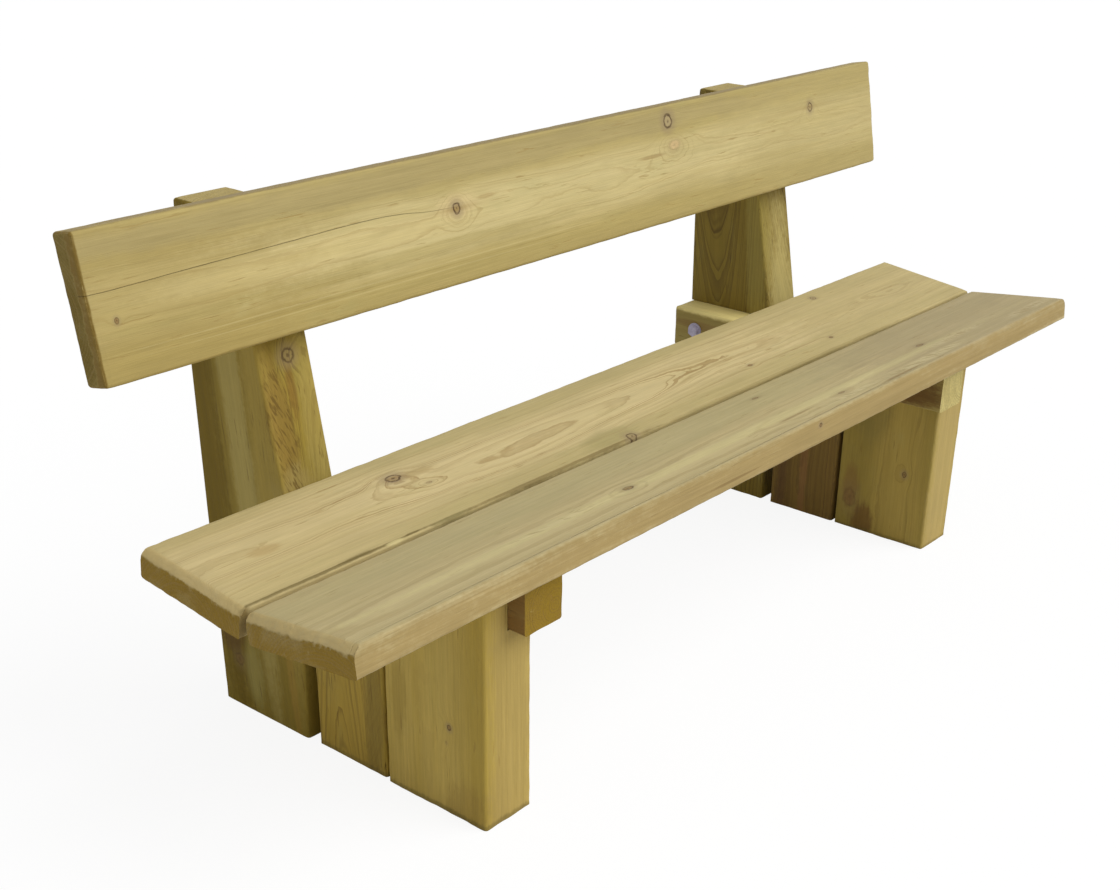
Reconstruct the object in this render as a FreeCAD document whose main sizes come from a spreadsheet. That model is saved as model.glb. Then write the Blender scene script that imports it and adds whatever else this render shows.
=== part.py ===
import FreeCAD, Part
import os

import Sketcher

# A heavy garden bench of treated softwood. X runs along the bench, Y from front to back, Z up.
# The origin is on the ground, under the middle of the whole bench.

doc = FreeCAD.newDocument("wooden_bench")
sheet = doc.addObject("Spreadsheet::Sheet", "sheet")

# Driving sizes in millimetres and degrees.
SIZES = {
    # planks of the seat and the backrest
    "plank_width": 200,
    "plank_thickness": 44,
    "seat_length": 1925,
    "backrest_length": 1905,
    "plank_arris": 5,
    "end_bevel": 11,
    "backrest_arris": 6,
    "seat_gap": 8,
    "seat_slope": 6.9,
    # the lowest line of the dished seat, measured at the top of the planks
    "valley_height": 415,
    "valley_setback": 147,
    # backrest, and how far its front top edge stands above the posts
    "backrest_slope": 10.7,
    "backrest_rise": 29.5,
    # uprights of each end frame, front to back
    "leg_thickness": 97,
    "frame_half_span": 680,
    "front_leg_width": 200,
    "front_crevice": 7,
    "middle_leg_recess": 4,
    "rear_crevice": 21,
    "post_clearance": 23,
    "post_width": 200,
    "post_height": 809,
    "post_rear_slope": 1,
    "post_taper_rise": 10,
    "upright_arris": 5,
    # cross bearers, and how far each stands proud of the inner faces of its uprights
    "bearer_width": 78,
    "bearer_height": 80,
    "bearer_setback": 29,
    "bearer_arris": 5,
    "hollow_share": 0.76,
    "left_proud": 28,
    "right_proud": 60,
    # coach screws that hold the bearers to the uprights
    "frame_screw_diameter": 12,
    "frame_bite_share": 0.3,
    "near_screw_share": 0.25,
    "far_screw_share": 0.75,
    "middle_screw_share": 0.33,
    "frame_washer_diameter": 30,
    "frame_washer_thickness": 3,
    # coach screws that hold the seat to the bearers
    "seat_screw_diameter": 8,
    "seat_shank_share": 0.62,
    "seat_screw_inset": 50,
    "seat_washer_diameter": 17,
    "seat_washer_thickness": 1.6,
    # coach screws that hold the backrest to the posts
    "backrest_screw_diameter": 10,
    "backrest_shank_share": 0.8,
    "backrest_screw_inset": 50,
    "backrest_washer_diameter": 22,
    "backrest_washer_thickness": 2,
    # what all the coach screws share
    "head_corner_share": 1.85,
    "head_height_share": 0.65,
    "point_share": 0.9,
    "plank_bite_share": 0.68,
    "hole_clearance": 1,
    "recess_clearance": 3,
    "thread_clearance": 0.1,
    "overrun": 20,
}
for row, (alias, value) in enumerate(SIZES.items(), start=1):
    sheet.set(f"A{row}", alias)
    sheet.set(f"B{row}", str(value))
    sheet.setAlias(f"B{row}", alias)
doc.recompute()

# Places along the front-to-back line, measured from the front face of the front legs.
DEG = "1deg"
SEAT_COS = f"cos(sheet.seat_slope * {DEG})"
SEAT_SIN = f"sin(sheet.seat_slope * {DEG})"
SEAT_TAN = f"tan(sheet.seat_slope * {DEG})"
BACK_COS = f"cos(sheet.backrest_slope * {DEG})"
BACK_SIN = f"sin(sheet.backrest_slope * {DEG})"
BACK_TAN = f"tan(sheet.backrest_slope * {DEG})"
REAR_TAN = f"tan(sheet.post_rear_slope * {DEG})"

FRONT_VALLEY = "(sheet.valley_setback - sheet.seat_gap / 2)"
REAR_VALLEY = "(sheet.valley_setback + sheet.seat_gap / 2)"
VALLEY_UNDERSIDE = f"(sheet.valley_height - sheet.plank_thickness / {SEAT_COS})"
SEAT_REACH = f"(sheet.plank_width * {SEAT_COS} + sheet.plank_thickness * {SEAT_SIN})"

# The bearers carry the planks in a shallow hollow.
HOLLOW_REACH = "(sheet.plank_width * sheet.hollow_share)"
BEARER_TOP = f"({VALLEY_UNDERSIDE} + {HOLLOW_REACH} * {SEAT_TAN})"
BEARER_BOTTOM = f"({BEARER_TOP} - sheet.bearer_height)"
FRAME_SCREW_HEIGHT = f"({BEARER_TOP} - sheet.bearer_height / 2)"

# The uprights stand side by side, and the post keeps clear of the seat.
MIDDLE_FRONT = "(sheet.front_leg_width + sheet.front_crevice)"
POST_FRONT = f"({REAR_VALLEY} + {SEAT_REACH} + sheet.post_clearance)"
MIDDLE_REAR = f"({POST_FRONT} - sheet.rear_crevice)"
POST_REAR = f"({POST_FRONT} + sheet.post_width)"
POST_TOP_REAR = f"({POST_REAR} + sheet.post_height * {REAR_TAN})"

# The backrest meets the posts along a seam that starts at the plank's lower rear edge.
TAPER_START = f"({BEARER_BOTTOM} + sheet.post_taper_rise)"
BACKREST_BOTTOM = f"(sheet.post_height + sheet.backrest_rise - sheet.plank_width * {BACK_COS})"
SEAM_Z = f"({BACKREST_BOTTOM} - sheet.plank_thickness * {BACK_SIN})"
SEAM_Y = f"({POST_FRONT} + ({SEAM_Z} - {TAPER_START}) * {BACK_TAN})"
BACKREST_SETBACK = f"({SEAM_Y} - sheet.plank_thickness * {BACK_COS})"
POST_TOP_FRONT = f"({SEAM_Y} + (sheet.post_height - {SEAM_Z}) * {BACK_TAN})"

# The bench is centred front to back between the seat's rounded nose and the top of the posts.
NOSE_ROUNDING = f"sheet.plank_arris * ({SEAT_COS} + {SEAT_SIN} - 1)"
FRONT_LIP = f"({FRONT_VALLEY} - {SEAT_REACH} + {NOSE_ROUNDING})"
REAR_LIP = f"({POST_TOP_REAR} - sheet.upright_arris * {REAR_TAN})"
CENTRE = f"(({FRONT_LIP} + {REAR_LIP}) / 2)"
BEARER_NOSE = f"({FRONT_LIP} + sheet.bearer_setback)"

# Lengths of the coach screws beyond their washers.
PLANK_BITE = "(sheet.plank_thickness * sheet.plank_bite_share)"
SHANK_IN_POST = f"(({POST_TOP_REAR} - {POST_TOP_FRONT}) * sheet.backrest_shank_share)"
REACH = {
    "frame": "(sheet.bearer_width + sheet.leg_thickness * sheet.frame_bite_share)",
    "seat": f"(sheet.bearer_height * sheet.seat_shank_share + {PLANK_BITE})",
    "backrest": f"({SHANK_IN_POST} + {PLANK_BITE})",
}
SIDES = {"left": -1, "right": 1}


def seat_underside(setback):
    """Height of the planks' underside over a place on the front-to-back line."""
    in_front = f"({VALLEY_UNDERSIDE} + ({FRONT_VALLEY} - {setback}) * {SEAT_TAN})"
    behind = f"({VALLEY_UNDERSIDE} + ({setback} - {REAR_VALLEY}) * {SEAT_TAN})"
    return f"max({VALLEY_UNDERSIDE}; max({in_front}; {behind}))"


def across(setback):
    """World Y of a place on the front-to-back line."""
    return f"{setback} - {CENTRE}"


def inner_face(side):
    """World X of the inner faces of a frame's uprights."""
    return f"{SIDES[side]} * (sheet.frame_half_span - sheet.leg_thickness)"


def bearer_inner_face(side):
    """World X of the face of a bearer that looks to the middle of the bench."""
    return f"{SIDES[side]} * (sheet.frame_half_span - sheet.leg_thickness - sheet.{side}_proud)"


def seat_screw_line(side):
    """World X of the seat screws, in the middle of what a bearer shows inside its uprights."""
    return f"{inner_face(side)} - {SIDES[side]} * sheet.{side}_proud / 2"


def loose_hole(kind):
    return f"sheet.{kind}_screw_diameter + sheet.hole_clearance"


def threaded_hole(kind):
    return f"sheet.{kind}_screw_diameter + 2 * sheet.thread_clearance"


def head_recess(kind):
    return f"sheet.{kind}_washer_diameter + sheet.recess_clearance"


def new_body(name):
    body = doc.addObject("PartDesign::Body", name)
    body.Label = name
    return body


def origin_plane(body, role):
    return next(item for item in body.Origin.OriginFeatures if item.Role == role)


def new_sketch(body, role, offset=None, tilt=None):
    """A sketch on one of the body's own planes, moved by expressions and tilted about its own X."""
    sketch = body.newObject("Sketcher::SketchObject", f"{body.Name}_sketch")
    sketch.AttachmentSupport = (origin_plane(body, role), "")
    sketch.MapMode = "FlatFace"
    if tilt is not None:
        about_x = FreeCAD.Rotation(FreeCAD.Vector(1, 0, 0), 1)
        sketch.AttachmentOffset = FreeCAD.Placement(FreeCAD.Vector(), about_x)
        sketch.setExpression("AttachmentOffset.Rotation.Angle", tilt)
    for axis, expression in (offset or {}).items():
        sketch.setExpression(f"AttachmentOffset.Base.{axis}", expression)
    return sketch


def pin_point(sketch, geometry, point, place):
    """Tie one point of the sketch to a place given by two expressions."""
    for kind, expression in zip(("DistanceX", "DistanceY"), place):
        start = sketch.Geometry[geometry].StartPoint if point == 1 else sketch.Geometry[geometry].Center
        value = start.x if kind == "DistanceX" else start.y
        index = sketch.addConstraint(Sketcher.Constraint(kind, -1, 1, geometry, point, value))
        sketch.setExpression(f"Constraints[{index}]", expression)


def outline(sketch, corners):
    """A closed polygon whose corners lie where the expressions say."""
    count = len(corners)
    full_turn = 360
    corner_angles = [full_turn * number / count for number in range(count)]
    spots = [FreeCAD.Rotation(FreeCAD.Vector(0, 0, 1), angle) for angle in corner_angles]
    reach = FreeCAD.Vector(SIZES["plank_width"], 0, 0)
    spots = [turn.multVec(reach) for turn in spots]
    for number in range(count):
        sketch.addGeometry(Part.LineSegment(spots[number], spots[(number + 1) % count]))
    for number in range(count):
        following = (number + 1) % count
        sketch.addConstraint(Sketcher.Constraint("Coincident", number, 2, following, 1))
    for number, place in enumerate(corners):
        pin_point(sketch, number, 1, place)


def circles(sketch, centres, diameter):
    """Circles of one size, centred where the expressions say."""
    for place in centres:
        rough_size = SIZES["frame_screw_diameter"]
        rough = Part.Circle(FreeCAD.Vector(), FreeCAD.Vector(0, 0, 1), rough_size)
        number = sketch.addGeometry(rough)
        pin_point(sketch, number, 3, place)
        index = sketch.addConstraint(Sketcher.Constraint("Diameter", number, rough_size))
        sketch.setExpression(f"Constraints[{index}]", diameter)


def pad(body, sketch, length, reverse=False, both_ways=False):
    feature = body.newObject("PartDesign::Pad", f"{body.Name}_pad")
    feature.Profile = sketch
    feature.setExpression("Length", length)
    feature.Reversed = reverse
    feature.Midplane = both_ways
    doc.recompute()
    return feature


def pocket(body, sketch, length, reverse=False, both_ways=False):
    """Cut the sketch into the body, and stop if nothing came away."""
    before = body.Shape.Volume
    feature = body.newObject("PartDesign::Pocket", f"{body.Name}_cut")
    feature.Profile = sketch
    feature.setExpression("Length", length)
    feature.Reversed = reverse
    feature.Midplane = both_ways
    doc.recompute()
    if body.Shape.Volume >= before:
        raise RuntimeError(f"{body.Name}: a cut removes nothing")
    return feature


def ease(body, radius, wanted, kind="PartDesign::Fillet"):
    """Round or bevel the edges of the body's tip that are wanted."""
    base = body.Tip
    names = [f"Edge{number}" for number, edge in enumerate(base.Shape.Edges, start=1) if wanted(edge)]
    feature = body.newObject(kind, f"{body.Name}_ease")
    feature.Base = (base, names)
    feature.setExpression("Radius" if kind == "PartDesign::Fillet" else "Size", radius)
    doc.recompute()
    return feature


def direction(edge):
    line = edge.Vertexes[-1].Point - edge.Vertexes[0].Point
    return line.normalize()


def runs_along(axis):
    nearly = 0.99
    return lambda edge: len(edge.Vertexes) == 2 and abs(direction(edge).dot(axis)) > nearly


ALONG_X = FreeCAD.Vector(1, 0, 0)
ALONG_Y = FreeCAD.Vector(0, 1, 0)


# Seat planks: flat boards with rounded long edges and bevelled ends, screwed from below.
def seat_plank(name, rear):
    body = new_body(name)
    sketch = new_sketch(body, "YZ_Plane")
    far_edge = "sheet.plank_width" if rear else "-sheet.plank_width"
    outline(sketch, [("0", "0"), (far_edge, "0"),
                     (far_edge, "-sheet.plank_thickness"), ("0", "-sheet.plank_thickness")])
    pad(body, sketch, "sheet.seat_length", both_ways=True)

    def top_end(edge):
        middle = edge.CenterOfMass
        at_top = abs(middle.z) < SIZES["thread_clearance"]
        return at_top and runs_along(ALONG_Y)(edge)

    ease(body, "sheet.end_bevel", top_end, kind="PartDesign::Chamfer")
    ease(body, "sheet.plank_arris", runs_along(ALONG_X))

    slope = "sheet.seat_slope" if rear else "-sheet.seat_slope"
    for place in seat_screw_setbacks(rear):
        valley = REAR_VALLEY if rear else FRONT_VALLEY
        along = f"(({place} - {valley}) / {SEAT_COS} - sheet.plank_thickness * tan({slope} * {DEG}))"
        offset = {"y": along, "z": "-sheet.plank_thickness"}
        drilled = new_sketch(body, "XY_Plane", offset, tilt=f"-({slope})")
        spots = [(seat_screw_line(side), "0") for side in SIDES]
        circles(drilled, spots, threaded_hole("seat"))
        pocket(body, drilled, f"2 * ({PLANK_BITE} + sheet.thread_clearance)", both_ways=True)

    body.Placement = FreeCAD.Placement(FreeCAD.Vector(), FreeCAD.Rotation(ALONG_X, 1))
    body.setExpression("Placement.Rotation.Angle", slope)
    body.setExpression("Placement.Base.y", across(REAR_VALLEY if rear else FRONT_VALLEY))
    body.setExpression("Placement.Base.z", "sheet.valley_height")
    return body


def seat_screw_setbacks(rear):
    """Places of the two rows of screws under one plank."""
    near = "sheet.seat_screw_inset"
    far = "(sheet.plank_width - sheet.seat_screw_inset)"
    if rear:
        return [f"({REAR_VALLEY} + {reach} * {SEAT_COS})" for reach in (near, far)]
    return [f"({FRONT_VALLEY} - {reach} * {SEAT_COS})" for reach in (near, far)]


# Backrest: one board on the sloping front edges of the posts, screwed from behind.
def backrest_plank(name):
    body = new_body(name)
    sketch = new_sketch(body, "YZ_Plane")
    outline(sketch, [("0", "0"), ("sheet.plank_thickness", "0"),
                     ("sheet.plank_thickness", "sheet.plank_width"), ("0", "sheet.plank_width")])
    pad(body, sketch, "sheet.backrest_length", both_ways=True)
    ease(body, "sheet.backrest_arris", lambda edge: True)
    drilled = new_sketch(body, "XZ_Plane", {"z": "-sheet.plank_thickness"})
    spots = [(post_middle(side), reach) for side in SIDES for reach in backrest_screw_reaches()]
    circles(drilled, spots, threaded_hole("backrest"))
    pocket(body, drilled, f"{PLANK_BITE} + sheet.thread_clearance", reverse=True)
    body.Placement = FreeCAD.Placement(FreeCAD.Vector(), FreeCAD.Rotation(ALONG_X, 1))
    body.setExpression("Placement.Rotation.Angle", "-sheet.backrest_slope")
    body.setExpression("Placement.Base.y", across(BACKREST_SETBACK))
    body.setExpression("Placement.Base.z", BACKREST_BOTTOM)
    return body


def post_middle(side):
    return f"{SIDES[side]} * (sheet.frame_half_span - sheet.leg_thickness / 2)"


def backrest_screw_reaches():
    """Distances of the screws up the back of the plank, from its lower edge."""
    return ["sheet.backrest_screw_inset", "(sheet.plank_width - sheet.backrest_screw_inset)"]


# Uprights: thick planks on end, with a housing for the bearer in the inner face.
def upright(name, side, corners, screw_setbacks, housing_top, recess="0"):
    body = new_body(name)
    outwards_is_back = side == "left"
    inner = {"z": inner_face(side)}
    sketch = new_sketch(body, "YZ_Plane", inner)
    outline(sketch, [(across(setback), height) for setback, height in corners])
    pad(body, sketch, f"sheet.leg_thickness - {recess}", reverse=outwards_is_back)

    foot_level = SIZES["thread_clearance"]
    ease(body, "sheet.upright_arris", lambda edge: not stays_sharp(edge, foot_level, corners))

    housing = new_sketch(body, "YZ_Plane", inner)
    front = across(f"({corners[0][0]} - sheet.overrun)")
    rear = across(f"({corners[1][0]} + sheet.overrun)")
    outline(housing, [(front, BEARER_BOTTOM), (rear, BEARER_BOTTOM),
                      (rear, housing_top), (front, housing_top)])
    pocket(body, housing, f"sheet.bearer_width - sheet.{side}_proud", reverse=not outwards_is_back)

    centres = [(across(setback), FRAME_SCREW_HEIGHT) for setback in screw_setbacks]
    drilled = new_sketch(body, "YZ_Plane", {"z": bearer_inner_face(side)})
    circles(drilled, centres, threaded_hole("frame"))
    depth = f"{REACH['frame']} + sheet.thread_clearance"
    pocket(body, drilled, depth, reverse=not outwards_is_back)
    return body


def stays_sharp(edge, foot_level, corners):
    """The sawn foot and the sawn top under the seat keep their edges."""
    box = edge.BoundBox
    at_foot = box.ZMax < foot_level
    level = abs(direction(edge).z) < SIZES["bearer_width"] / SIZES["plank_width"]
    under_seat = level and box.ZMax < SIZES["valley_height"]
    return at_foot or under_seat


def front_leg(side):
    width = "sheet.front_leg_width"
    corners = [("0", "0"), (width, "0"), (width, seat_underside(width)),
               (REAR_VALLEY, VALLEY_UNDERSIDE), (FRONT_VALLEY, VALLEY_UNDERSIDE),
               ("0", seat_underside("0"))]
    return upright(f"{side}_front_leg", side, corners, front_leg_screws(), "sheet.valley_height")


def middle_leg(side):
    corners = [(MIDDLE_FRONT, "0"), (MIDDLE_REAR, "0"),
               (MIDDLE_REAR, seat_underside(MIDDLE_REAR)), (MIDDLE_FRONT, seat_underside(MIDDLE_FRONT))]
    return upright(f"{side}_middle_leg", side, corners, middle_leg_screws(), "sheet.valley_height",
                   "sheet.middle_leg_recess")


def back_post(side):
    corners = [(POST_FRONT, "0"), (POST_REAR, "0"), (POST_TOP_REAR, "sheet.post_height"),
               (POST_TOP_FRONT, "sheet.post_height"), (POST_FRONT, TAPER_START)]
    body = upright(f"{side}_back_post", side, corners, post_screws(), BEARER_TOP)
    spots = [(post_middle(side), reach) for reach in backrest_screw_reaches()]
    tilt = "-sheet.backrest_slope"
    seam = {"y": SEAM_Z, "z": f"-({across(SEAM_Y)})"}
    through = new_sketch(body, "XZ_Plane", seam, tilt=tilt)
    circles(through, spots, loose_hole("backrest"))
    pocket(body, through, REACH["backrest"])
    head_seat = {"y": f"{SEAM_Z} - {SHANK_IN_POST} * {BACK_SIN}",
                 "z": f"-({across(SEAM_Y)} + {SHANK_IN_POST} * {BACK_COS})"}
    recess = new_sketch(body, "XZ_Plane", head_seat, tilt=tilt)
    circles(recess, spots, head_recess("backrest"))
    pocket(body, recess, "sheet.post_width")
    return body


def screws_in_upright(front, width, shares):
    return [f"({front} + {width} * sheet.{share}_screw_share)" for share in shares]


def front_leg_screws():
    return screws_in_upright("0", "sheet.front_leg_width", ("near", "far"))


def middle_leg_screws():
    return screws_in_upright(MIDDLE_FRONT, f"({MIDDLE_REAR} - {MIDDLE_FRONT})", ("middle",))


def post_screws():
    return screws_in_upright(POST_FRONT, "sheet.post_width", ("near", "far"))


def frame_screws():
    return front_leg_screws() + middle_leg_screws() + post_screws()


# Bearers: square timbers across the uprights, hollowed on top for the dished seat.
def bearer(side):
    body = new_body(f"{side}_bearer")
    outwards_is_back = side == "left"
    sketch = new_sketch(body, "YZ_Plane", {"z": bearer_inner_face(side)})
    corners = [(BEARER_NOSE, BEARER_BOTTOM), (POST_REAR, BEARER_BOTTOM), (POST_REAR, BEARER_TOP),
               (f"({REAR_VALLEY} + {HOLLOW_REACH})", BEARER_TOP), (REAR_VALLEY, VALLEY_UNDERSIDE),
               (FRONT_VALLEY, VALLEY_UNDERSIDE), (f"({FRONT_VALLEY} - {HOLLOW_REACH})", BEARER_TOP),
               (BEARER_NOSE, BEARER_TOP)]
    outline(sketch, [(across(setback), height) for setback, height in corners])
    pad(body, sketch, "sheet.bearer_width", reverse=outwards_is_back)

    def long_edge(edge):
        return runs_along(ALONG_Y)(edge) and edge.Length > SIZES["bearer_height"] and level(edge)

    def level(edge):
        return edge.BoundBox.ZLength < SIZES["thread_clearance"]

    ease(body, "sheet.bearer_arris", long_edge)

    centres = [(across(setback), FRAME_SCREW_HEIGHT) for setback in frame_screws()]
    through = new_sketch(body, "YZ_Plane", {"z": bearer_inner_face(side)})
    circles(through, centres, loose_hole("frame"))
    pocket(body, through, "sheet.bearer_width + sheet.overrun", reverse=not outwards_is_back)

    for rear in (False, True):
        for setback in seat_screw_setbacks(rear):
            spot = [(seat_screw_line(side), across(setback))]
            upwards = new_sketch(body, "XY_Plane", {"z": BEARER_BOTTOM})
            circles(upwards, spot, loose_hole("seat"))
            pocket(body, upwards, "sheet.bearer_height + sheet.overrun", reverse=True)
            recess = new_sketch(body, "XY_Plane", {"z": BEARER_BOTTOM})
            circles(recess, spot, head_recess("seat"))
            pocket(body, recess, f"{seat_screw_head(setback)} - {BEARER_BOTTOM}", reverse=True)
    return body


def seat_screw_head(setback):
    """Height of the shoulder that a seat screw's washer pulls against."""
    return f"({seat_underside(setback)} + {PLANK_BITE} - {REACH['seat']})"


def cylinder(name, diameter, length, start="0"):
    part = doc.addObject("Part::Cylinder", name)
    part.setExpression("Radius", f"({diameter}) / 2")
    part.setExpression("Height", length)
    part.setExpression("Placement.Base.z", start)
    return part


# Coach screws: a hexagon head on a washer, a round shank and a pointed end.
# Each is drawn along Z, its shank rising from the underside of its head at zero.
def coach_screw(kind):
    diameter = f"sheet.{kind}_screw_diameter"
    length = f"({REACH[kind]} + sheet.{kind}_washer_thickness)"
    point = f"sheet.point_share * {diameter}"
    shank = cylinder(f"{kind}_shank", diameter, f"{length} - {point}")
    tip = doc.addObject("Part::Cone", f"{kind}_tip")
    tip.setExpression("Radius1", f"{diameter} / 2")
    tip.setExpression("Radius2", "sheet.thread_clearance")
    tip.setExpression("Height", point)
    tip.setExpression("Placement.Base.z", f"{length} - {point}")
    head = doc.addObject("Part::Prism", f"{kind}_head")
    head.Polygon = 6
    head.setExpression("Circumradius", f"sheet.head_corner_share * {diameter} / 2")
    head.setExpression("Height", f"sheet.head_height_share * {diameter}")
    head.setExpression("Placement.Base.z", f"-sheet.head_height_share * {diameter}")
    screw = doc.addObject("Part::MultiFuse", f"{kind}_screw")
    screw.Shapes = [shank, tip, head]
    return screw


def washer(kind):
    thickness = f"sheet.{kind}_washer_thickness"
    ring = doc.addObject("Part::Cut", f"{kind}_washer")
    ring.Base = cylinder(f"{kind}_washer_disc", f"sheet.{kind}_washer_diameter", thickness)
    ring.Tool = cylinder(f"{kind}_washer_bore", threaded_hole(kind), thickness)
    return ring


def group(name, master, places, turn, angle=None):
    """Copies of one fastener as separate solids in one named group."""
    copies = []
    for number, place in enumerate(places, start=1):
        copy = doc.addObject("App::Link", f"{name}_{number}")
        copy.LinkedObject = master
        copy.Placement = FreeCAD.Placement(FreeCAD.Vector(), turn)
        for axis, expression in zip("xyz", place):
            copy.setExpression(f"Placement.Base.{axis}", expression)
        if angle is not None:
            copy.setExpression("Placement.Rotation.Angle", angle)
        copies.append(copy)
    whole = doc.addObject("Part::Compound", name)
    whole.Links = copies
    whole.Label = name
    return whole


MASTERS = {kind: (coach_screw(kind), washer(kind)) for kind in ("frame", "seat", "backrest")}


def fasteners(side, kind, places, turn, angle=None):
    screw, ring = MASTERS[kind]
    return [group(f"{side}_{kind}_screws", screw, places, turn, angle),
            group(f"{side}_{kind}_screw_washers", ring, places, turn, angle)]


# Their heads bear on the inner faces of the bearers, and in recesses under the bearers
# and in the backs of the posts.
def all_fasteners(side):
    quarter = 90
    outwards = FreeCAD.Rotation(ALONG_Y, quarter * SIDES[side])
    head_x = f"{bearer_inner_face(side)} - {SIDES[side]} * sheet.frame_washer_thickness"
    frame_places = [(head_x, across(setback), FRAME_SCREW_HEIGHT) for setback in frame_screws()]

    seat_places = []
    for rear in (False, True):
        for setback in seat_screw_setbacks(rear):
            head_z = f"{seat_screw_head(setback)} - sheet.seat_washer_thickness"
            seat_places.append((seat_screw_line(side), across(setback), head_z))

    depth = f"({SHANK_IN_POST} + sheet.backrest_washer_thickness)"
    back_places = []
    for reach in backrest_screw_reaches():
        setback = f"({SEAM_Y} + {reach} * {BACK_SIN} + {depth} * {BACK_COS})"
        height = f"{SEAM_Z} + {reach} * {BACK_COS} - {depth} * {BACK_SIN}"
        back_places.append((post_middle(side), across(setback), height))

    forwards = FreeCAD.Rotation(ALONG_X, quarter)
    return (fasteners(side, "frame", frame_places, outwards)
            + fasteners(side, "seat", seat_places, FreeCAD.Rotation())
            + fasteners(side, "backrest", back_places, forwards, "90 - sheet.backrest_slope"))


nodes = [seat_plank("seat_plank_front", rear=False),
         seat_plank("seat_plank_rear", rear=True),
         backrest_plank("backrest_plank")]
for side in SIDES:
    nodes += [front_leg(side), middle_leg(side), back_post(side), bearer(side)]
    nodes += all_fasteners(side)
doc.recompute()

for item in doc.Objects:
    if "Invalid" in item.State or "Error" in item.State:
        raise RuntimeError(f"{item.Label} failed: {item.State}")
for node in nodes:
    if node.Shape.isNull() or not node.Shape.isValid():
        raise RuntimeError(f"{node.Label} has a bad shape")

os.makedirs("parts", exist_ok=True)
for node in nodes:
    node.Shape.exportStep(f"parts/{node.Label}.step")
    box = node.Shape.BoundBox
    print(f"{node.Label}: {len(node.Shape.Solids)} solids, "
          f"x {box.XMin:.1f} to {box.XMax:.1f}, y {box.YMin:.1f} to {box.YMax:.1f}, "
          f"z {box.ZMin:.1f} to {box.ZMax:.1f}")
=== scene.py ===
import bmesh
import bpy
import math
from collections import namedtuple
from mathutils import Matrix, Vector, noise


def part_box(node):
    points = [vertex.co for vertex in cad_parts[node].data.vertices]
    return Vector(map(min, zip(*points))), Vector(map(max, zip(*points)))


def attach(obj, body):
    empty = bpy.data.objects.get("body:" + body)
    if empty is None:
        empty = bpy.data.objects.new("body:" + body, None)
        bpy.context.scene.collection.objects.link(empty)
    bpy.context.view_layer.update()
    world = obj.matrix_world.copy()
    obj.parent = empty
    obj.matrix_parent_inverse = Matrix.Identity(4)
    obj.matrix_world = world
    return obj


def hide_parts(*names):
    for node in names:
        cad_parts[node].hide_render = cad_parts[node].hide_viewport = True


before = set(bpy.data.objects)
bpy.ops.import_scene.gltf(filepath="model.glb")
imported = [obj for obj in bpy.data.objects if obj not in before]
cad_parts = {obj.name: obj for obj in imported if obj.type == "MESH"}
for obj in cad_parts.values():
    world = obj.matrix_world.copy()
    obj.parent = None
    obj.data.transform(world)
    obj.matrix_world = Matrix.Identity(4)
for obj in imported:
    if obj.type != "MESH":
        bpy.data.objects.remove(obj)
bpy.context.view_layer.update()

# The viewpoint: a standing person's eye, off the left end of the bench and in front of it,
# looking down at the middle of the seat through a slightly long lens.
EYE = Vector((-2.03488, -1.53359, 1.32880))
EYE_TURN = math.radians(-50.026)
EYE_PITCH = math.radians(-27.578)
EYE_ROLL = math.radians(0.775)
PICTURE_WIDTH = 1120
PICTURE_HEIGHT = 890
FOCUS_IN_PIXELS = 1578.315
AXIS_ROW = 609.847
FILM_WIDTH = 36

backward = Vector((math.sin(EYE_TURN) * math.cos(EYE_PITCH),
                   -math.cos(EYE_TURN) * math.cos(EYE_PITCH),
                   -math.sin(EYE_PITCH)))
level_right = (-backward).cross(Vector((0, 0, 1))).normalized()
level_up = level_right.cross(-backward)
eye_right = math.cos(EYE_ROLL) * level_right + math.sin(EYE_ROLL) * level_up
eye_up = math.cos(EYE_ROLL) * level_up - math.sin(EYE_ROLL) * level_right
eye_axes = Matrix((eye_right, eye_up, backward)).transposed()

viewer = bpy.data.objects.new("viewer", bpy.data.cameras.new("viewer"))
viewer.data.sensor_width = FILM_WIDTH
viewer.data.sensor_fit = "HORIZONTAL"
viewer.data.lens = FOCUS_IN_PIXELS / PICTURE_WIDTH * FILM_WIDTH
viewer.data.shift_y = (AXIS_ROW - PICTURE_HEIGHT / 2) / PICTURE_WIDTH
viewer.matrix_world = Matrix.Translation(EYE) @ eye_axes.to_4x4()
bpy.context.scene.collection.objects.link(viewer)
bpy.context.scene.camera = viewer


# The studio: a white floor that still takes the bench's soft shadow, one broad lamp high
# in front and to the right, and an even pale sky that fills the shaded sides.
FLOOR_SPAN = 60
FLOOR_WHITE = (0.86, 0.86, 0.86, 1)
FLOOR_GLOW = 0.86
FLOOR_LIFT = 1.04
SKY_WHITE = (1, 1, 1, 1)
SKY_FILL = 0.432
LAMP_POWER = 2.15
LAMP_SPREAD = math.radians(50)
LAMP_FROM = Vector((1.1, -2.0, 2.2))


class Number:
    # a number that varies over a surface; sums of it are written as plain arithmetic
    def __init__(self, finish, socket):
        self.finish = finish
        self.socket = socket

    def __add__(self, other):
        return self.finish.maths("ADD", self, other)

    def __sub__(self, other):
        return self.finish.maths("SUBTRACT", self, other)

    def __rsub__(self, other):
        return self.finish.maths("SUBTRACT", other, self)

    def __mul__(self, other):
        return self.finish.maths("MULTIPLY", self, other)

    def __truediv__(self, other):
        return self.finish.maths("DIVIDE", self, other)

    def __rtruediv__(self, other):
        return self.finish.maths("DIVIDE", other, self)

    def __abs__(self):
        return self.finish.maths("ABSOLUTE", self)

    __radd__ = __add__
    __rmul__ = __mul__


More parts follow.
